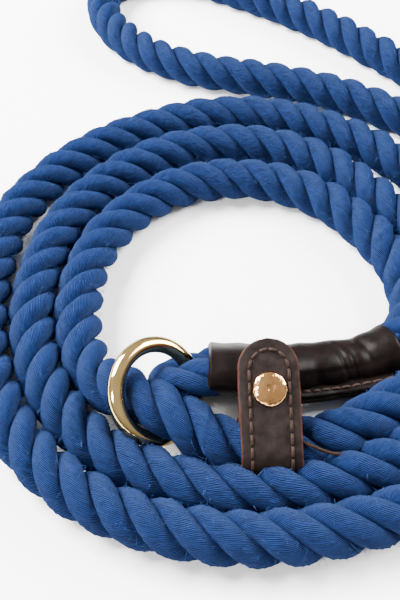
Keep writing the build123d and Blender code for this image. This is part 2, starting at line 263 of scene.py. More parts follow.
def surface(name, points, uv=None, closed=True, caps=True):
    """A mesh from a grid of points, rows along the piece and columns round it. The columns join up when
    closed, and caps close both ends with a fan round a middle point. The columns are taken in the other
    order where the first order would turn the surface inside out."""
    if inside_out(points, closed, caps):
        points = points[:, ::-1]
        uv = None if uv is None else uv[:, ::-1]
    rows, cols = points.shape[:2]
    wide = cols if closed else cols - 1
    i, j = np.meshgrid(np.arange(rows - 1), np.arange(wide), indexing="ij")
    nxt = (j + 1) % cols
    quads = np.stack([i * cols + j, i * cols + nxt, (i + 1) * cols + nxt, (i + 1) * cols + j], axis=-1)
    faces = quads.reshape(-1, 4).tolist()
    verts = points.reshape(-1, 3)
    if caps:
        verts = np.concatenate([verts, [points[0].mean(0), points[-1].mean(0)]])
        ring = np.arange(cols)
        after = (ring + 1) % cols
        first, last = rows * cols, (rows - 1) * cols
        faces += np.stack([np.full(cols, first), after, ring], axis=1).tolist()
        faces += np.stack([np.full(cols, first + 1), last + ring, last + after], axis=1).tolist()
    mesh = bpy.data.meshes.new(name)
    mesh.from_pydata(verts.tolist(), [], faces)
    if uv is not None:
        grid = np.stack([uv[:-1, :-1], uv[:-1, 1:], uv[1:, 1:], uv[1:, :-1]], axis=2).reshape(-1, 2)
        if caps:
            a, b = uv[0], uv[-1]
            low = np.stack([(a[:-1] + a[1:]) / 2, a[1:], a[:-1]], axis=1).reshape(-1, 2)
            high = np.stack([(b[:-1] + b[1:]) / 2, b[:-1], b[1:]], axis=1).reshape(-1, 2)
            grid = np.concatenate([grid, low, high])
        layer = mesh.uv_layers.new(name="UVMap")
        layer.uv.foreach_set("vector", grid.ravel())
    mesh.polygons.foreach_set("use_smooth", np.ones(len(mesh.polygons), bool))
    mesh.update()
    return mesh


def joined(name, meshes):
    """One mesh from several, keeping their UV maps and material numbers."""
    verts, faces, uvs, slots = [], [], [], []
    start = 0
    for number, mesh in meshes:
        co = np.empty(len(mesh.vertices) * 3)
        mesh.vertices.foreach_get("co", co)
        verts.append(co.reshape(-1, 3))
        faces += [[start + k for k in p.vertices] for p in mesh.polygons]
        slots += [number] * len(mesh.polygons)
        uv = np.zeros(len(mesh.loops) * 2)
        if mesh.uv_layers:
            mesh.uv_layers[0].uv.foreach_get("vector", uv)
        uvs.append(uv)
        start += len(mesh.vertices)
        bpy.data.meshes.remove(mesh)
    out = bpy.data.meshes.new(name)
    out.from_pydata(np.concatenate(verts).tolist(), [], faces)
    out.uv_layers.new(name="UVMap").uv.foreach_set("vector", np.concatenate(uvs))
    out.polygons.foreach_set("material_index", slots)
    out.polygons.foreach_set("use_smooth", np.ones(len(out.polygons), bool))
    out.update()
    return out


def piece(name, mesh, body, slot, *materials):
    """Puts a mesh into the scene as a piece of one body."""
    thing = bpy.data.objects.new(name, mesh)
    for material in materials:
        mesh.materials.append(material)
    bpy.context.scene.collection.objects.link(thing)
    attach(thing, body)
    return thing


def ripple(x, seed, scale):
    """Uneven rise and fall along x: three sines whose lengths and phases come from the seed."""
    rng = np.random.default_rng(seed)
    out = np.zeros_like(x)
    for k in range(3):
        length = scale * rng.uniform(0.6, 1.7)
        out = out + np.sin(2 * math.pi * x / length + rng.uniform(0, 6.28)) / 3
    return out


# How much a strand swells, drifts round and is lumpy, each with the length that it changes over.
SWELL, SWELL_LENGTH = 0.035, 0.021
DRIFT, DRIFT_LENGTH = 0.16, 0.09
LUMP, LUMP_LENGTH = 0.03, 0.0055
STRAND_HALF_WIDTH = 0.60  # of the rope's radius
STRAND_OFFSET = 0.02  # of the rope's radius, out from its middle


def strands(name, line, diameter, lay, seed, up=(0, 0, 1), around=18, phase=0.0):
    """A three-strand rope. Each strand's section is an oval beside the rope's middle; it turns once
    round the middle in every lay length, right-handed, and swells and thins a little as it goes. The
    UV map unrolls the rope: U is the way round times the radius and V is the way along, so lines of
    constant U run along the rope."""
    _, side, top = axes_along(line, up)
    s = distance_along(line)
    r = diameter / 2
    v = np.linspace(0, 2 * math.pi, around + 1)
    parts = []
    for k in range(3):
        swell = 1 + SWELL * ripple(s, seed + k, SWELL_LENGTH)
        turn = 2 * math.pi * (s / lay + k / 3) + phase + DRIFT * ripple(s, seed + 7, DRIFT_LENGTH)
        lump = 1 + LUMP * ripple(s[:, None] + 0.003 * np.sin(v[None] + k), seed + 17 + k, LUMP_LENGTH)
        swell = swell[:, None] * lump
        out = r * (0.5 + 0.5 * np.cos(v))[None] * swell + r * STRAND_OFFSET
        over = r * STRAND_HALF_WIDTH * np.sin(v)[None] * swell
        local = np.arctan2(over, out)
        away = np.hypot(out, over)
        angle = turn[:, None] + local
        ring = np.cos(angle)[..., None] * side[:, None] + np.sin(angle)[..., None] * top[:, None]
        points = line[:, None] + away[..., None] * ring
        uv = np.stack([angle * r + 0.31 * k, np.broadcast_to(s[:, None], angle.shape)], axis=-1)
        parts.append((0, surface(f"{name}_{k}", points[:, :-1], uv)))
    return joined(name, parts)


FIBRE_STATIONS = (0.0, 0.55, 0.8, 1.0)
FIBRE_THICK = (0.00003, 0.00003, 0.000024, 0.00001)
FIBRE_ACROSS = (0.31, 0.52, 0.79)  # a slanting direction, so that none lies along it


def fibres(name, line, diameter, count, seed):
    """Loose fibres of a rope. Each starts inside it at a random distance along and bearing round, rises
    on a quarter sine to its own height over the surface, and drifts along and round as it rises. It is
    a three-sided rod that thins towards its tip."""
    rng = np.random.default_rng(seed)
    _, side, top = axes_along(line)
    s = distance_along(line)
    at = rng.uniform(0.02, 0.98, count) * s[-1]
    bearing = rng.uniform(0, 2 * math.pi, count)
    height = rng.uniform(0.0001, 0.0008, count) * rng.uniform(0.3, 1, count)
    drift = rng.normal(0, 0.22, count)
    run = rng.normal(0, 0.0012, count)
    r = diameter / 2
    t = np.array(FIBRE_STATIONS)
    along = at[:, None] + run[:, None] * t
    angle = bearing[:, None] + drift[:, None] * t
    away = 0.72 * r + (0.3 * r + height[:, None]) * np.sin(math.pi * t / 2)
    middle = [sampled(part, along, s) for part in (line, side, top)]
    path = middle[0] + away[..., None] * (
        np.cos(angle)[..., None] * middle[1] + np.sin(angle)[..., None] * middle[2]
    )
    way = unit(np.gradient(path, axis=1))
    a = unit(np.cross(way, FIBRE_ACROSS))
    b = np.cross(way, a)
    turn = np.array((0, 2, 4)) * math.pi / 3
    thick = np.array(FIBRE_THICK)[None, :, None, None]
    ring = np.cos(turn)[:, None] * a[:, :, None] + np.sin(turn)[:, None] * b[:, :, None]
    verts = (path[:, :, None] + thick * ring).reshape(-1, 3)
    edges = [(3 * k + j, 3 * k + (j + 1) % 3) for k in range(3) for j in range(3)]
    sides = [(a, b, b + 3, a + 3) for a, b in edges]
    start = 12 * np.arange(count)[:, None]
    faces = [q for rod in (start[..., None] + np.array(sides)[None]).tolist() for q in rod]
    faces += (start + np.array((2, 1, 0))).tolist() + (start + np.array((9, 10, 11))).tolist()
    mesh = bpy.data.meshes.new(name)
    mesh.from_pydata(verts.tolist(), [], faces)
    mesh.update()
    return mesh


# ------------------------------------------------------------------------------- materials


def fill(n, **values):
    """Sets a node's own settings, or else its sockets, named with _ for a space."""
    for key, value in values.items():
        if hasattr(n, key):
            setattr(n, key, value)
        else:
            n.inputs[key.replace("_", " ")].default_value = value
    return n


def node(tree, kind, place, **values):
    """A new shader node at this place in the editor."""
    n = tree.nodes.new("ShaderNode" + kind)
    n.location = place
    return fill(n, **values)


def link(source, output, target, entry):
    """Joins one node's output to another node's input in the same tree."""
    source.id_data.links.new(source.outputs[output], target.inputs[entry])


def new_group(name, inputs, outputs):
    """An empty shader node group with these named sockets."""
    group = bpy.data.node_groups.new(name, "ShaderNodeTree")
    for label, kind, default in inputs:
        socket = group.interface.new_socket(label, in_out="INPUT", socket_type=kind)
        if default is not None:
            socket.default_value = default
    for label, kind in outputs:
        group.interface.new_socket(label, in_out="OUTPUT", socket_type=kind)
    enter = group.nodes.new("NodeGroupInput")
    leave = group.nodes.new("NodeGroupOutput")
    enter.location = (-900, 0)
    leave.location = (900, 0)
    return group, enter, leave


def yarn_group():
    """Fine yarns lying along a rope: noise drawn out along V, wavy ridges and looser fluff over it."""
    group, enter, leave = new_group(
        "Yarn lines",
        [("Vector", "NodeSocketVector", None), ("Fineness", "NodeSocketFloat", 5200.0)],
        [("Height", "NodeSocketFloat")],
    )
    stretch = node(group, "VectorMath", (-700, 100), operation="MULTIPLY")
    stretch.inputs[1].default_value = (1.0, 0.09, 1.0)
    scale = node(group, "VectorMath", (-520, 100), operation="SCALE")
    lines = node(group, "TexNoise", (-340, 160), noise_dimensions="2D", Scale=1.0, Detail=3.0, Roughness=0.62)
    ridges = node(group, "TexWave", (-340, 420), Scale=800.0, Distortion=2.4, Detail=2.0, Detail_Scale=1.2)
    twist = node(group, "Math", (-150, 300), operation="MULTIPLY_ADD")
    twist.inputs[1].default_value = 0.6
    broad = node(group, "VectorMath", (-520, -200), operation="MULTIPLY")
    broad.inputs[1].default_value = (900.0, 260.0, 1.0)
    fluff = node(group, "TexNoise", (-340, -200), noise_dimensions="2D", Scale=1.0, Detail=6.0)
    both = node(group, "Math", (-100, 0), operation="MULTIPLY_ADD")
    both.inputs[1].default_value = 0.45
    soften = node(group, "Math", (20, 200), operation="ADD")
    soften.inputs[1].default_value = -0.3
    link(enter, "Vector", stretch, 0)
    link(stretch, 0, scale, 0)
    link(enter, "Fineness", scale, "Scale")
    link(scale, 0, lines, "Vector")
    link(enter, "Vector", broad, 0)
    link(broad, 0, fluff, "Vector")
    link(fluff, "Fac", both, 0)
    link(stretch, 0, ridges, "Vector")
    link(ridges, "Fac", twist, 0)
    link(lines, "Fac", twist, 2)
    link(twist, 0, soften, 0)
    link(soften, 0, both, 2)
    link(both, 0, leave, "Height")
    return group


def grain_group():
    """Leather grain: small uneven cells, finer pores over them, and broad soft creases."""
    group, enter, leave = new_group(
        "Leather grain",
        [("Vector", "NodeSocketVector", None), ("Cell", "NodeSocketFloat", 1400.0)],
        [("Tone", "NodeSocketFloat"), ("Height", "NodeSocketFloat"), ("Wear", "NodeSocketFloat")],
    )
    cells = node(group, "TexVoronoi", (-500, 200), feature="SMOOTH_F1", Smoothness=0.35)
    bend = node(group, "TexNoise", (-500, -100), Scale=420.0, Detail=5.0)
    wear = node(group, "TexNoise", (-500, -350), Scale=130.0, Detail=4.0)
    mix = node(group, "Math", (-200, 100), operation="MULTIPLY_ADD")
    mix.inputs[1].default_value = 0.6
    for target in (cells, bend, wear):
        link(enter, "Vector", target, "Vector")
    link(enter, "Cell", cells, "Scale")
    link(cells, "Distance", mix, 0)
    link(bend, "Fac", mix, 2)
    link(bend, "Fac", leave, "Tone")
    link(mix, 0, leave, "Height")
    link(wear, "Fac", leave, "Wear")
    return group


def base_material(name):
    material = bpy.data.materials.new(name)
    material.use_nodes = True
    tree = material.node_tree
    tree.nodes.clear()
    out = node(tree, "OutputMaterial", (700, 0))
    shader = node(tree, "BsdfPrincipled", (400, 0))
    link(shader, 0, out, "Surface")
    return material, tree, shader


def placed_group(tree, group, place, source, output):
    """A group in a material, reading one texture coordinate."""
    coordinate = node(tree, "TexCoord", (place[0] - 250, place[1]))
    box = tree.nodes.new("ShaderNodeGroup")
    box.node_tree = group
    box.location = place
    link(coordinate, source, box, output)
    return box


def colour_ramp(tree, place, stops):
    ramp = node(tree, "ValToRGB", place)
    while len(ramp.color_ramp.elements) < len(stops):
        ramp.color_ramp.elements.new(0.5)
    for element, (position, colour) in zip(ramp.color_ramp.elements, stops):
        element.position = position
        element.color = (*colour, 1.0)
    return ramp


def speckled(name, place, scale, detail):
    """A new material with one noise in object coordinates, which its tone or height will follow."""
    material, tree, shader = base_material(name)
    coordinate = node(tree, "TexCoord", (-900, 0))
    noise = node(tree, "TexNoise", place, Scale=scale, Detail=detail)
    link(coordinate, "Object", noise, "Vector")
    return material, tree, shader, noise


def bumped(tree, shader, height, output, strength, distance):
    """Lets a node's output raise the surface that a shader sees."""
    bump = node(tree, "Bump", (100, -300), Strength=strength, Distance=distance)
    link(height, output, bump, "Height")
    link(bump, "Normal", shader, "Normal")


def toned(tree, shader, source, output, place, stops):
    """Lets a node's output choose a shader's colour between stops."""
    ramp = colour_ramp(tree, place, stops)
    link(source, output, ramp, "Fac")
    link(ramp, "Color", shader, "Base Color")


def fibre_material():
    """Fluffed-out cotton fibres, each patch of them a little paler or darker."""
    material, tree, shader, noise = speckled("Cotton fibres", (-650, 0), 700.0, 2.0)
    toned(tree, shader, noise, "Fac", (-350, 200), ((0.3, (0.008, 0.024, 0.09)), (0.7, (0.045, 0.09, 0.24))))
    fill(shader, Roughness=0.9, Specular_IOR_Level=0.05)
    return material


def rope_material(settings):
    """Dyed cotton: painted shade between the yarn lines and painted light on their tops, random fluff tone,
    and a soft sheen.
    """
    material, tree, shader = base_material("Cotton rope")
    yarn = placed_group(tree, yarn_group(), (-700, 0), "UV", "Vector")
    spread = node(tree, "Math", (-480, 200), operation="ADD")
    spread.inputs[1].default_value = -0.22
    link(yarn, "Height", spread, 0)
    # The yarn height picks the colour: painted shade where it is low between the yarns, the yarn colour with
    # painted light where it is high, and the fluff adds random tone.
    stops = ((0.32, tuple(settings.rope_painted_shade)), (0.68, tuple(settings.rope_yarn_and_painted_light)))
    toned(tree, shader, spread, 0, (-300, 200), stops)
    bumped(tree, shader, yarn, "Height", 1.0, 0.0007)
    fill(shader, Roughness=0.95, Specular_IOR_Level=0.03)
    fill(shader, Sheen_Weight=0.06, Sheen_Roughness=0.55, Sheen_Tint=(0.35, 0.52, 0.95, 1.0))
    return material


def leather_material(name, dark, light, roughness, cell, depth, gloss):
    """Finished leather: grain, a little colour change, and duller worn patches."""
    material, tree, shader = base_material(name)
    group = bpy.data.node_groups.get("Leather grain") or grain_group()
    grain = placed_group(tree, group, (-700, 0), "Object", "Vector")
    fill(grain, Cell=cell)
    rough = node(tree, "MapRange", (-300, -100), To_Min=roughness - 0.08, To_Max=roughness + 0.14)
    toned(tree, shader, grain, "Tone", (-300, 200), ((0.3, dark), (0.72, light)))
    link(grain, "Wear", rough, "Value")
    link(rough, "Result", shader, "Roughness")
    bumped(tree, shader, grain, "Height", 0.55, depth)
    fill(shader, Specular_IOR_Level=gloss, Coat_Weight=0.015, Coat_Roughness=0.3)
    return material


def metal_material(name, colour, shade, roughness, dents):
    """Polished metal with faint handling marks and a slightly uneven tone."""
    material, tree, shader, haze = speckled(name, (-650, 150), 260.0, 5.0)
    coordinate = node(tree, "TexCoord", (-900, -200))
    marks = node(tree, "TexNoise", (-650, -200), Scale=420.0, Detail=3.0)
    rough = node(tree, "MapRange", (-350, -50), To_Min=roughness * 0.6, To_Max=roughness * 1.6)
    link(coordinate, "Object", marks, "Vector")
    toned(tree, shader, haze, "Fac", (-350, 200), ((0.3, shade), (0.65, colour)))
    link(haze, "Fac", rough, "Value")
    link(rough, "Result", shader, "Roughness")
    bumped(tree, shader, marks, "Fac", 0.8, dents)
    fill(shader, Metallic=1.0)
    return material


def thread_material():
    """Waxed brown thread, a little uneven in tone and surface."""
    material, tree, shader, noise = speckled("Waxed thread", (-650, 0), 2600.0, 3.0)
    stops = ((0.3, (0.005, 0.0025, 0.0018)), (0.7, (0.030, 0.015, 0.010)))
    toned(tree, shader, noise, "Fac", (-350, 200), stops)
    bumped(tree, shader, noise, "Fac", 0.6, 0.0001)
    fill(shader, Roughness=0.65, Specular_IOR_Level=0.12)
    return material


def made(name, maker, *values):
    """The material of this name, made the first time that it is asked for."""
    return bpy.data.materials.get(name) or maker(*values)


# Each leather's dark and light tones, roughness, cells of grain to the metre, grain depth and gloss.
LEATHERS = {
    "Sleeve leather": ((0.0018, 0.0010, 0.0009), (0.0050, 0.0028, 0.0026), 0.44, 1500.0, 0.0001, 0.05),
    "Strap leather": ((0.0050, 0.0030, 0.0026), (0.0150, 0.0100, 0.0088), 0.50, 1700.0, 0.0001, 0.09),
    "Cut leather edge": ((0.018, 0.0050, 0.0035), (0.050, 0.016, 0.011), 0.8, 2600.0, 0.0001, 0.08),
}
# Each metal's colour, its darker shade, its roughness and the depth of its dents.
METALS = {
    "Polished brass": ((0.74, 0.53, 0.22), (0.66, 0.44, 0.16), 0.09, 0.00001),
    "Copper rivet": ((0.80, 0.44, 0.18), (0.55, 0.27, 0.09), 0.13, 0.0006),
}


def leather(name):
    return made(name, leather_material, name, *LEATHERS[name])


def metal(name):
    return made(name, metal_material, name, *METALS[name])


def thread():
    return made("Waxed thread", thread_material)


# ------------------------------------------------------------------------------- settings


def metres(name, description, default):
    """A length setting, in metres."""
    return bpy.props.FloatProperty(name=name, description=description, default=default, unit="LENGTH")


def tint(name, description, default):
    """A colour setting."""
    return bpy.props.FloatVectorProperty(name=name, description=description, default=default, subtype="COLOR")


class LEAD_PG_rope(bpy.types.PropertyGroup):
    """Sizes and colours of the rope."""

    diameter: metres("Diameter", "Across the rope", 0.0127)
    lay: metres("Lay", "Length of one turn of a strand", 0.027)
    eye_diameter: metres("Eye diameter", "Across the rope where it is folded round the ring", 0.0098)
    fibres: bpy.props.FloatProperty(
        name="Loose fibres", description="Loose fibres on each metre of rope", default=5200
    )
    # The rope's colours: painted shade between the yarns, and the yarn colour with painted light on their
    # tops.
    rope_painted_shade: tint("Painted shade between yarns", "Colour painted as shade between the yarns", (0.0007, 0.0032, 0.018))
    rope_yarn_and_painted_light: tint("Yarns", "Colour of the yarns, with painted light on their tops", (0.0085, 0.026, 0.112))


class LEAD_PG_leather(bpy.types.PropertyGroup):
    """Sizes of the sleeves and the stopper strap."""

    sleeve_wall: metres("Sleeve wall", "Thickness of the sleeves' leather", 0.0013)
    flange: metres("Flange", "Width of a sleeve's sewn edge", 0.0032)
    strap_width: metres("Strap width", "Width of the stopper strap", 0.0142)
    outer_ply: metres("Outer ply", "Thickness of the strap's outer leather", 0.0009)
    lining_ply: metres("Lining ply", "Thickness of the strap's lining", 0.0007)
    bend_radius: metres("Bend radius", "Outside of the strap round the rope", 0.0079)
    tongue: metres("Tongue", "From the bend to the rounded tip", 0.0254)
    slope: bpy.props.FloatProperty(
        name="Slope", description="How steeply the tongue rises", default=math.radians(32), subtype="ANGLE"
    )
    stitch: metres("Stitch", "From one needle hole to the next", 0.0026)
    inset: metres("Seam inset", "From the leather's edge to the stitching", 0.0025)


class LEAD_PG_metal(bpy.types.PropertyGroup):
    """Sizes of the ring and the rivet."""

    ring_wire: metres("Ring wire", "Across the ring's wire", 0.004)
    rivet: metres("Rivet cap", "Across the rivet's cap", 0.0081)
    rivet_at: metres("Rivet place", "Along the tongue", 0.0136)


def rope_settings():
    return bpy.context.scene.lead_rope


def leather_settings():
    return bpy.context.scene.lead_leather


def metal_settings():
    return bpy.context.scene.lead_metal


# ------------------------------------------------------------------------------- rope pieces


def rope_piece(name, line, seed, lay_kind, *stands_for):
    """A free stretch of the rope, along its line."""
    settings = rope_settings()
    length = float(distance_along(line)[-1])
    mesh = strands(name, line, settings.diameter, settings.lay, seed)
    material = made("Cotton rope", rope_material, settings)
    thing = piece(name, mesh, "lead", "rope", material)
    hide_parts(*stands_for)
    loose = fibres(name + "_fibres", line, settings.diameter, int(settings.fibres * length), seed)
    piece(name + "_fibres", loose, "lead", "rope", made("Cotton fibres", fibre_material))


def eye_axes():
    """Where the eye's fold goes round the ring: the wire's place and direction, the way back to the
    sleeve, and the way across between the fold's two legs."""
    up = np.array((0, math.sin(RING_LEAN), math.cos(RING_LEAN)))
    low = np.cross(up, RING_AXIS)
    wire = RING_CENTRE + RING_MEAN_R * (low * math.cos(EYE_BEARING) + up * math.sin(EYE_BEARING))
    wire_way = up * math.cos(EYE_BEARING) - low * math.sin(EYE_BEARING)
    back = laid([EYE_SLEEVE[1][0]])[0] - wire
    back = unit(back - wire_way * back.dot(wire_way))
    return wire, wire_way, back, np.cross(back, wire_way)


class LEAD_OT_rope(bpy.types.Operator):
    """Lay the free rope: the noose, the coil and the hand loop"""

    bl_idname = "lead.rope"
    bl_label = "Rope"

    def execute(self, context):
        line = smooth_line(laid(np.concatenate([NOOSE_POINTS, coil_points(), STANDING_POINTS])), "rope_line")
        seam = (RUN_R * math.cos(SEAM_BEARING), RUN_R * math.sin(SEAM_BEARING), RUN_Z)
        k = int(np.argmin(np.linalg.norm(line - LAY - COIL_CENTRE - seam, axis=1)))
        rope_piece("noose_rope", line[: k + 1], 3, "loose", "rope_noose_right", "rope_noose_left", "rope_run")
        rope_piece(
            "coil_rope", line[k:], 11, "coiled",
            "rope_coil_inner_top", "rope_coil_inner_bottom", "rope_coil_outer_top", "rope_coil_outer_bottom",
            "rope_standing", "rope_handle_splice",
        )
        loop = smooth_line(laid(HANDLE_POINTS), "hand_loop_line")
        rope_piece("hand_loop_rope", loop, 23, "loose", "rope_handle_inner", "rope_handle_outer")
        return {"FINISHED"}


EYE_LEG_OFF = 0.0034  # each leg's distance from the sleeve's middle line
EYE_LEG_START = 0.009  # from the wire's middle to where the fold's sides are straight
EYE_LAY = 0.92  # the fold's lay against the free rope's


class LEAD_OT_eye(bpy.types.Operator):
    """Fold the rope's end round the ring and take both legs into the sleeve"""

    bl_idname = "lead.eye"
    bl_label = "Rope eye"

    def execute(self, context):
        settings = rope_settings()
        wire, wire_way, back, side = eye_axes()
        around = metal_settings().ring_wire / 2 + settings.eye_diameter / 2
        splice = laid([EYE_SLEEVE[2][0]])[0]
        points = []
        for sign in (-1, 1):
            half = [splice + side * sign * EYE_LEG_OFF, wire + back * EYE_LEG_START + side * sign * around]
            half += [wire + side * sign * around * 1.02, wire + (side * sign - back * 0.96) * around]
            points += half if sign < 0 else half[::-1]
        line = smooth_line(points, "eye_line")
        lay = settings.lay * EYE_LAY
        mesh = strands("eye_rope", line, settings.eye_diameter, lay, 31, up=wire_way, phase=0.6)
        eye = piece("eye_rope", mesh, "lead", "rope", made("Cotton rope", rope_material, settings))
        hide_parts("rope_eye", "rope_eye_splice")
        return {"FINISHED"}


# ------------------------------------------------------------------------------- leather pieces


def eased(values, where, stations):
    """Values between stations, going from one to the next with no corner."""
    values = np.asarray(values)
    k = np.clip(np.searchsorted(stations, where, side="right") - 1, 0, len(stations) - 2)
    t = (where - stations[k]) / (stations[k + 1] - stations[k])
    t = np.clip(t, 0, 1)
    t = t * t * (3 - 2 * t)
    return values[k] * (1 - t) + values[k + 1] * t


def sleeve_lines(stations):
    """A sleeve's middle line, and its half width and half thickness at every point."""
    middle = laid([s[0] for s in stations])
    line = smooth_line(middle, "sleeve_line")
    s = distance_along(line)
    at = distance_along(middle) * s[-1] / distance_along(middle)[-1]
    wide = eased([x[1] for x in stations], s, at)
    thick = eased([x[2] for x in stations], s, at)
    return line, s, wide, thick


def sleeve_section(line, wide, thick, lean, v):
    """Rounded-slot sections: a squarish oval whose longer way leans by the given angle."""
    _, side, top = axes_along(line)
    spread = side * math.cos(lean) + top * math.sin(lean)
    flat = np.cross(unit(np.gradient(line, axis=0)), spread)
    power = 1 / (1 + 0.35 * (1 - thick / wide))[:, None]
    c, w = np.cos(v)[None], np.sin(v)[None]
    x = wide[:, None] * np.sign(c) * np.abs(c) ** power
    y = thick[:, None] * np.sign(w) * np.abs(w) ** power
    return line[:, None] + x[..., None] * spread[:, None] + y[..., None] * flat[:, None]


LONG_FOLD = 0.00036
SHORT_FOLD = 0.00022
LIP = 0.45  # of the wall, how far a sleeve's rim bulges past its end


def make_sleeve(name, stations, lean, seed, creases):
    """Wrapped leather: an outer and an inner skin joined by rounded rims. The outer skin has long soft
    folds and the short creases listed, each a place along, a direction round, a depth and a width."""
    wall = leather_settings().sleeve_wall
    line, s, wide, thick = sleeve_lines(stations)
    v = full_turn(72)
    outer = sleeve_section(line, wide, thick, lean, v)
    inner = sleeve_section(line, wide - wall, thick - wall, lean, v)
    away = unit(outer - line[:, None])
    long_fold = LONG_FOLD * ripple(v[None] * 0.006 + 0.12 * s[:, None], seed, 0.009)
    short_fold = SHORT_FOLD * ripple(s[:, None] + 0.003 * np.sin(v[None] + seed), seed + 1, 0.012)
    rise = long_fold + short_fold
    for place, direction, depth, width in creases:
        turn = np.angle(np.exp(1j * (v - direction)))[None]
        off = (s[:, None] - place - 0.0012 * turn) / width
        rise = rise - depth * np.exp(-(off**2) - (turn / 0.9) ** 2)
    outer = outer + away * rise[..., None]
    along = unit(np.gradient(line, axis=0))
    lip_a = (outer[0] + inner[0]) / 2 - along[0] * wall * LIP
    lip_b = (outer[-1] + inner[-1]) / 2 + along[-1] * wall * LIP
    grid = np.concatenate([outer, lip_b[None], inner[::-1], lip_a[None], outer[:1]])
    return surface(name, grid, caps=False)


def make_flange(name, stations, way, start, stop):
    """The sewn edge: an upper and a lower ply with a parting line between them, carried along the
    sleeve's side. The lower ply stands out a little further."""
    settings = leather_settings()
    wall = settings.sleeve_wall
    line, s, _, thick = sleeve_lines(stations)
    keep = (s >= s[-1] * start) & (s <= s[-1] * stop)
    _, side, top = axes_along(line)
    out = (side * math.cos(way) + top * math.sin(way))[keep]
    line, thick, s = line[keep], thick[keep], s[keep]
    over = unit(np.cross(out, unit(np.gradient(line, axis=0))))
    over = over * np.sign(over[:, 2:])
    w = settings.flange
    profile = np.array([
        (-0.0016, 1.0), (w * 0.3, 0.86), (w - 0.0006, 0.98), (w - 0.0002, 0.8), (w - 0.0001, 0.5),
        (w - 0.0003, 0.12), (w - 0.0008, 0.0), (w - 0.0001, -0.12), (w + 0.0004, -0.5), (w + 0.0003, -0.8),
        (w - 0.0001, -0.98), (-0.0016, -1.0),
    ])
    fade = np.clip(np.minimum(s - s[0], s[-1] - s) / 0.003, 0.12, 1) ** 0.5
    wave = SHORT_FOLD * ripple(s, 5, 0.011)
    x = thick[:, None] + profile[:, 0][None] * fade[:, None] + wave[:, None]
    y = profile[:, 1][None] * wall * fade[:, None] + wave[:, None]
    grid = line[:, None] + x[..., None] * out[:, None] + y[..., None] * over[:, None]
    return surface(name, grid)


def flange_holes(stations, way, start, stop):
    """Needle holes along a flange, on its upper face, and the way up at each."""
    settings = leather_settings()
    line, s, _, thick = sleeve_lines(stations)
    _, side, top = axes_along(line)
    out = side * math.cos(way) + top * math.sin(way)
    over = unit(np.cross(out, unit(np.gradient(line, axis=0))))
    over = over * np.sign(over[:, 2:])
    count = int((stop - start) * s[-1] / settings.stitch)
    at = np.linspace(s[-1] * start + 0.0015, s[-1] * stop - 0.0008, count)
    row = line + out * (thick + settings.flange - 0.0016)[:, None] + over * settings.sleeve_wall * 0.95
    return sampled(row, at, s), unit(sampled(over, at, s))


def stitches(name, holes, ups, thick=0.00042):
    """Thread from each needle hole to the next: a short round bar that rises out of one hole and dips
    into the other."""
    rows, cols = 7, 7
    a, b = holes[:-1], holes[1:]
    up = unit(ups[:-1] + ups[1:])
    along = b - a
    level = unit(np.cross(up, along))
    t = np.linspace(0.06, 0.94, rows)
    lift = thick * (1.15 * np.sin(math.pi * t) ** 0.6 - 0.75)
    fat = thick * (0.55 + 0.45 * np.sin(math.pi * t) ** 0.5)
    v = full_turn(cols)
    middle = a[:, None] + t[None, :, None] * along[:, None] + lift[None, :, None] * up[:, None]
    c, w = np.cos(v)[None, None, :, None], np.sin(v)[None, None, :, None]
    ring = c * level[:, None, None] + w * up[:, None, None]
    grid = middle[:, :, None] + fat[None, :, None, None] * ring
    return joined(name, [(0, surface(f"{name}_{k}", g)) for k, g in enumerate(grid)])


EYE_CREASES = (
    (0.0262, 0.3, 0.0005, 0.0022),
    (0.0336, -0.3, 0.0008, 0.0010),
    (0.0368, 0.2, 0.0006, 0.0008),
    (0.0402, -0.8, 0.0008, 0.0016),
)
HANDLE_CREASES = ((0.012, 1.4, 0.0006, 0.001), (0.034, 1.5, 0.0006, 0.0009))


class LEAD_OT_sleeves(bpy.types.Operator):
    """Wrap and sew the leather sleeves over both splices"""

    bl_idname = "lead.sleeves"
    bl_label = "Leather sleeves"

    def execute(self, context):
        rows = (
            ("eye_sleeve", EYE_SLEEVE, EYE_LEAN, math.pi, 0.30, 1.0, 2, EYE_CREASES),
            ("handle_sleeve", HANDLE_SLEEVE, 0.0, 0.0, 0.35, 0.98, 9, HANDLE_CREASES),
        )
        for name, stations, lean, way, start, stop, seed, creases in rows:
            skin = make_sleeve(name, stations, lean, seed, creases)
            flange = make_flange(name, stations, way, start, stop)
            mesh = joined(name + "_leather", [(0, skin), (0, flange)])
            sleeve = piece(name + "_leather", mesh, "lead", "sleeve_leather", leather("Sleeve leather"))
            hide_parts(name)
            holes, ups = flange_holes(stations, way, start, stop)
            seam = piece(name + "_thread", stitches(name, holes, ups), "lead", "thread", thread())
            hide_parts(name + "_stitching")
        return {"FINISHED"}


# ------------------------------------------------------------------------------- stopper pieces


def stopper_axes():
    """The stopper's place on the rope's line, the way along the rope, the way inwards and up."""
    outward = np.array((math.cos(STOPPER_BEARING), math.sin(STOPPER_BEARING), 0))
    place = LAY + COIL_CENTRE + outward * RUN_R + (0, 0, RUN_Z)
    return place, np.array((-outward[1], outward[0], 0)), -outward, np.array((0, 0, 1.0))


def in_stopper(x, y, z):
    """Points given along the rope, inwards and upwards from the stopper's place."""
    place, along, inward, up = stopper_axes()
    return place + x[..., None] * along + y[..., None] * inward + z[..., None] * up


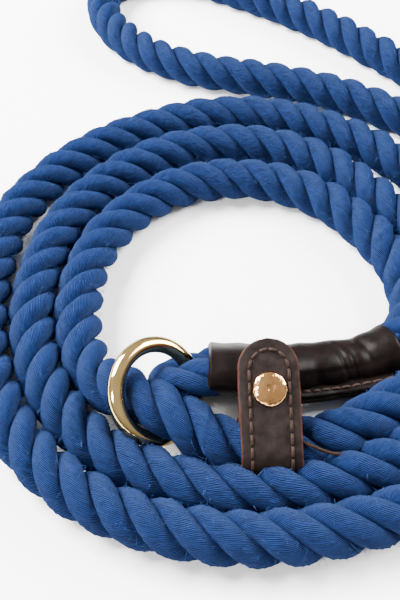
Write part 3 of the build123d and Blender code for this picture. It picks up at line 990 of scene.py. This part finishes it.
def strap_path(depth):
    """Side view of one ply at this depth under the strap's outer face: down the tongue's upper limb,
    round the rope and back up its lower limb. Gives places, outward directions and distances to the
    nearer tip."""
    settings = leather_settings()
    ply = settings.outer_ply + settings.lining_ply
    reach = settings.bend_radius - depth
    slope = settings.slope
    d = np.array((math.cos(slope), math.sin(slope)))
    n = np.array((-math.sin(slope), math.cos(slope)))
    low = settings.bend_radius - 2 * ply + depth
    meet = math.acos(low / reach)
    upper = np.linspace(settings.tongue, 0, 60)[:, None] * d + reach * n
    turn = slope + math.pi / 2 + np.linspace(0, 2 * math.pi - meet, 90)[1:]
    bend = reach * np.stack([np.cos(turn), np.sin(turn)], axis=1)
    lower = np.linspace(reach * math.sin(meet), settings.tongue, 44)[1:, None] * d + low * n
    path = np.concatenate([upper, bend, lower])
    for _ in range(6):
        path[100:-3] = (path[99:-4] + 2 * path[100:-3] + path[101:-2]) / 4
    s = distance_along(path)
    way = unit(np.gradient(path, axis=0))
    outward = np.stack([way[:, 1], -way[:, 0]], axis=1)
    return path, outward, np.minimum(s, s[-1] - s), s


EDGE_WAVE = 0.00012
EDGE_ROUND = 0.45  # of the ply's thickness
GROOVE, GROOVE_WIDTH = 0.00012, 0.0006  # the hollow that the stitching pulls in the leather


def make_ply(name, depth, thick, shrink):
    """A strip of leather along the path, with rounded edges and a half-round tip at both ends. Its
    edge faces take the second material."""
    settings = leather_settings()
    path, out, tip, s = strap_path(depth)
    half = settings.strap_width / 2 - shrink
    near = np.clip(half - tip, 0, half)
    width = np.sqrt(np.maximum(half**2 - near**2, (0.02 * half) ** 2))
    width = width + EDGE_WAVE * ripple(s, 41, 0.012) * (tip > half)
    edge = np.linspace(-math.pi / 2, math.pi / 2, 7)
    flat = np.linspace(1, -1, 9)[1:-1]
    across = np.concatenate([flat, np.full(7, -1.0), -flat, np.ones(7)])
    bulge = np.concatenate([np.zeros(7), -np.cos(edge), np.zeros(7), np.cos(edge)])
    height = np.concatenate([np.ones(7), -np.sin(edge), -np.ones(7), np.sin(edge)])
    soft = thick * EDGE_ROUND
    x = across[None] * (width - soft)[:, None] + bulge[None] * soft
    y = height[None] * thick / 2
    groove = np.exp(-(((np.abs(x) - (half - settings.inset)) / GROOVE_WIDTH) ** 2)) * (height > 0.9)
    y = y - GROOVE * groove * (tip > settings.inset)[:, None]
    seen = path[:, None] + y[..., None] * out[:, None]
    grid = in_stopper(x, seen[..., 0], seen[..., 1])
    mesh = surface(name, grid)
    cols = len(across)
    is_edge = (np.abs(across) >= 1) & (np.abs(height) < 0.99)
    slots = np.broadcast_to(is_edge.astype(int), (len(path) - 1, cols)).ravel()
    slots = np.concatenate([slots, np.ones(2 * cols, int)])
    mesh.polygons.foreach_set("material_index", slots)
    return mesh


SEAM_ROUND = 2.15  # how far round the bend the stitching starts, in bend radii


def strap_seam():
    """Needle holes up one side of the strap from under the rope, round the tip and down the other
    side, with the outward direction at each."""
    settings = leather_settings()
    path, out, _, s = strap_path(0.0)
    half = settings.strap_width / 2 - settings.inset
    tip_s = settings.strap_width / 2
    low_s = settings.tongue + settings.bend_radius * SEAM_ROUND
    count = int((low_s - tip_s) / settings.stitch)
    side_s = np.linspace(low_s, tip_s, count)
    turns = 7
    a = np.linspace(0, math.pi, turns)[1:-1]
    x = np.concatenate([np.full(count, -half), -half * np.cos(a), np.full(count, half)])
    where = np.concatenate([side_s, tip_s - half * np.sin(a), side_s[::-1]])
    place, way = sampled(path, where, s), sampled(out, where, s)
    zero = np.zeros(len(where))
    base = in_stopper(zero, zero, zero)
    holes = in_stopper(x, place[:, 0], place[:, 1])
    ups = in_stopper(zero, way[:, 0], way[:, 1]) - base
    return holes, unit(ups)


def turned(name, profile, place, axis, around=48):
    """A round piece: a profile of radius and height, turned about an axis."""
    axis = unit(np.array(axis, float))
    side = unit(np.cross(axis, (0.0, 0.3, 1.0)))
    other = np.cross(axis, side)
    v = full_turn(around)
    r, h = profile[:, 0][:, None, None], profile[:, 1][:, None, None]
    ring = np.cos(v)[None, :, None] * side + np.sin(v)[None, :, None] * other
    return surface(name, place + r * ring + h * axis)


CAP_RISE, CAP_RIM = 0.00115, 0.00028
DIMPLE, DIMPLE_WIDTH = 0.0006, 0.3  # depth, and width as a part of the cap's radius
BASE_WIDTH = 0.87  # against the cap
# The rivet's base below the strap: radius, as a part of the base's own after the first, and height.
BASE_PROFILE = (
    (1e-5, -0.0009), (0.6, -0.0009), (0.92, -0.0006), (1.0, -0.0002), (0.98, 0.0), (0.45, 0.0002),
)


class LEAD_OT_stopper(bpy.types.Operator):
    """Wrap the stopper strap round the rope, sew it and rivet it"""

    bl_idname = "lead.stopper"
    bl_label = "Stopper"

    def execute(self, context):
        settings = leather_settings()
        sizes = metal_settings()
        outer = make_ply("strap_outer_ply", settings.outer_ply / 2, settings.outer_ply, 0.0)
        depth = settings.outer_ply + settings.lining_ply / 2
        lining = make_ply("strap_lining_ply", depth, settings.lining_ply, 0.0002)
        face, cut = leather("Strap leather"), leather("Cut leather edge")
        top = piece("strap_outer_ply", outer, "stopper", "strap_leather", face, cut)
        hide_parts("stopper_outer")
        under = piece("strap_lining_ply", lining, "stopper", "strap_lining", cut, cut)
        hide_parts("stopper_lining")
        holes, ups = strap_seam()
        seam = piece("strap_thread", stitches("strap_thread", holes, ups), "stopper", "thread", thread())
        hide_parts("stopper_stitching")

        slope = settings.slope
        _, _, inward, up = stopper_axes()
        normal = up * math.cos(slope) - inward * math.sin(slope)
        y = sizes.rivet_at * math.cos(slope) - settings.bend_radius * math.sin(slope)
        z = sizes.rivet_at * math.sin(slope) + settings.bend_radius * math.cos(slope)
        place = in_stopper(np.zeros(1), np.array([y]), np.array([z]))[0]
        r = sizes.rivet / 2
        t = np.linspace(0, 1, 26)[1:]
        dome = CAP_RISE * np.sqrt(np.maximum(1 - t**2.6, 0)) + CAP_RIM
        dimple = DIMPLE * np.exp(-((t / DIMPLE_WIDTH) ** 2))
        crown = np.stack([r * t, dome - dimple], axis=1)
        foot = np.array([(r, 0.0001), (r * 0.96, -0.0003)])
        cap_profile = np.concatenate([[(1e-5, dome[0] - DIMPLE)], crown, foot])[::-1]
        dome_mesh = turned("rivet_cap", cap_profile, place, normal)
        cap = piece("rivet_cap", dome_mesh, "stopper", "copper", metal("Copper rivet"))
        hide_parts("stopper_rivet_cap")
        ply = 2 * (settings.outer_ply + settings.lining_ply)
        base_profile = np.array(BASE_PROFILE + ((0.43, ply),))
        base_profile[1:, 0] *= r * BASE_WIDTH
        base = turned("rivet_post", base_profile, place - normal * ply, normal)
        post = piece("rivet_post", base, "stopper", "copper", metal("Copper rivet"))
        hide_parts("stopper_rivet_post")
        return {"FINISHED"}


TAIL_THICK = 0.0009
TAIL_LAY = 0.0026


class LEAD_OT_thread_tail(bpy.types.Operator):
    """Let the end of the stopper's thread lie along the rope"""

    bl_idname = "lead.thread_tail"
    bl_label = "Thread end"

    def execute(self, context):
        turn = STOPPER_BEARING + np.radians((6.8, 9.5, 12.3, 15, 18))
        rise = np.radians((68, 54, 38, 27, 18))
        off = np.array((0.0068, 0.0070, 0.0070, 0.0070, 0.0070))
        radius = RUN_R + off * np.cos(rise)
        height = RUN_Z + off * np.sin(rise)
        plan = np.stack([radius * np.cos(turn), radius * np.sin(turn), height], axis=1) + COIL_CENTRE
        line = smooth_line(plan + LAY, "tail_line")
        mesh = strands("thread_tail", line, TAIL_THICK, TAIL_LAY, 51, around=8)
        tail = piece("thread_tail", mesh, "stopper", "thread", thread())
        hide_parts("stopper_thread_tail")
        return {"FINISHED"}


class LEAD_OT_ring(bpy.types.Operator):
    """Bend the brass ring"""

    bl_idname = "lead.ring"
    bl_label = "Ring"

    def execute(self, context):
        r = metal_settings().ring_wire / 2
        side = unit(np.cross(RING_AXIS, (0, 0, 1)))
        other = np.cross(RING_AXIS, side)
        u = np.linspace(0, 2 * math.pi, 145)
        v = full_turn(36)
        arm = np.cos(u)[:, None] * side + np.sin(u)[:, None] * other
        away = RING_MEAN_R + r * np.cos(v)
        grid = RING_CENTRE + away[None, :, None] * arm[:, None] + (r * np.sin(v))[None, :, None] * -RING_AXIS
        mesh = surface("brass_ring", grid, caps=False)
        ring = piece("brass_ring", mesh, "ring", "brass", metal("Polished brass"))
        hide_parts("ring")
        return {"FINISHED"}


# ------------------------------------------------------------------------------- stage


CAMERA_LENS = 48
CAMERA_SENSOR = 36
CAMERA_PLACE = (0, -0.14694, 0.17512)
CAMERA_TILT = math.radians(40)
FLOOR_REACH = 1.2
WORLD_STRENGTH = 0.9
# Each area light's name, place, power in watts and size.
LIGHTS = (
    ("key_light", (-0.62, 0.25, 0.62), 74.0, 0.55),
    ("fill_light", (0.75, 0.20, 0.55), 42.0, 0.60),
    ("edge_light", (-0.50, -0.50, 0.45), 7.0, 0.16),
)


class LEAD_OT_camera(bpy.types.Operator):
    """Set the camera that looks down on the lead from the front"""

    bl_idname = "lead.camera"
    bl_label = "Camera"

    def execute(self, context):
        lens = bpy.data.cameras.new("Camera")
        lens.lens = CAMERA_LENS
        lens.sensor_width = CAMERA_SENSOR
        camera = bpy.data.objects.new("Camera", lens)
        camera.location = LAY + CAMERA_PLACE
        camera.rotation_euler = (CAMERA_TILT, 0, 0)
        context.scene.collection.objects.link(camera)
        context.scene.camera = camera
        return {"FINISHED"}


def floor_material():
    """Matt white paper with a faint tooth."""
    material, tree, shader, tooth = speckled("White paper", (-450, 0), 900.0, 3.0)
    bumped(tree, shader, tooth, "Fac", 0.05, 0.0001)
    fill(shader, Base_Color=(0.97, 0.97, 0.97, 1.0), Roughness=0.9, Specular_IOR_Level=0.1)
    return material


class LEAD_OT_stage(bpy.types.Operator):
    """Put down the pale floor and hang the studio lights"""

    bl_idname = "lead.stage"
    bl_label = "Floor and lights"

    def execute(self, context):
        signs = ((-1, -1), (1, -1), (1, 1), (-1, 1))
        corners = [(x * FLOOR_REACH, y * FLOOR_REACH, FLOOR) for x, y in signs]
        mesh = bpy.data.meshes.new("floor")
        mesh.from_pydata(corners, [], [(0, 1, 2, 3)])
        mesh.materials.append(floor_material())
        floor = bpy.data.objects.new("floor", mesh)
        context.scene.collection.objects.link(floor)
        for name, place, power, size in LIGHTS:
            light = bpy.data.lights.new(name, "AREA")
            light.energy = power
            light.shape = "SQUARE"
            light.size = size
            lamp = bpy.data.objects.new(name, light)
            lamp.location = place
            lamp.rotation_euler = (-Vector(place)).to_track_quat("-Z", "Y").to_euler()
            context.scene.collection.objects.link(lamp)
        world = bpy.data.worlds.new("Studio")
        world.use_nodes = True
        sky = world.node_tree
        glow = sky.nodes["Background"]
        glow.inputs[1].default_value = WORLD_STRENGTH
        way = node(sky, "TexCoord", (-900, 0))
        parts = node(sky, "SeparateXYZ", (-700, 0))
        shade = colour_ramp(sky, (-450, 0), ((0.04, (0.10, 0.10, 0.11)), (0.5, (0.85, 0.85, 0.85))))
        link(way, "Generated", parts, 0)
        link(parts, "Z", shade, "Fac")
        link(shade, "Color", glow, 0)
        context.scene.world = world
        return {"FINISHED"}


class LEAD_PT_panel(bpy.types.Panel):
    """Slip lead settings and the pieces to make"""

    bl_idname = "LEAD_PT_panel"
    bl_label = "Slip lead"
    bl_space_type = "VIEW_3D"
    bl_region_type = "UI"
    bl_category = "Slip lead"

    def draw(self, context):
        for group in (context.scene.lead_rope, context.scene.lead_leather, context.scene.lead_metal):
            box = self.layout.box()
            for key in group.bl_rna.properties.keys():
                if key not in {"rna_type", "name"}:
                    box.prop(group, key)
        for operator in OPERATORS:
            self.layout.operator(operator.bl_idname)


OPERATORS = (
    LEAD_OT_camera,
    LEAD_OT_rope,
    LEAD_OT_eye,
    LEAD_OT_sleeves,
    LEAD_OT_stopper,
    LEAD_OT_thread_tail,
    LEAD_OT_ring,
    LEAD_OT_stage,
)
CLASSES = (LEAD_PG_rope, LEAD_PG_leather, LEAD_PG_metal) + OPERATORS + (LEAD_PT_panel,)


def register():
    for cls in CLASSES:
        bpy.utils.register_class(cls)
    bpy.types.Scene.lead_rope = bpy.props.PointerProperty(type=LEAD_PG_rope)
    bpy.types.Scene.lead_leather = bpy.props.PointerProperty(type=LEAD_PG_leather)
    bpy.types.Scene.lead_metal = bpy.props.PointerProperty(type=LEAD_PG_metal)


def unregister():
    del bpy.types.Scene.lead_metal
    del bpy.types.Scene.lead_leather
    del bpy.types.Scene.lead_rope
    for cls in reversed(CLASSES):
        bpy.utils.unregister_class(cls)


def main():
    register()
    bpy.ops.lead.camera()
    bpy.ops.lead.rope()
    bpy.ops.lead.eye()
    bpy.ops.lead.sleeves()
    bpy.ops.lead.stopper()
    bpy.ops.lead.thread_tail()
    bpy.ops.lead.ring()
    bpy.ops.lead.stage()


if __name__ == "__main__":
    main()
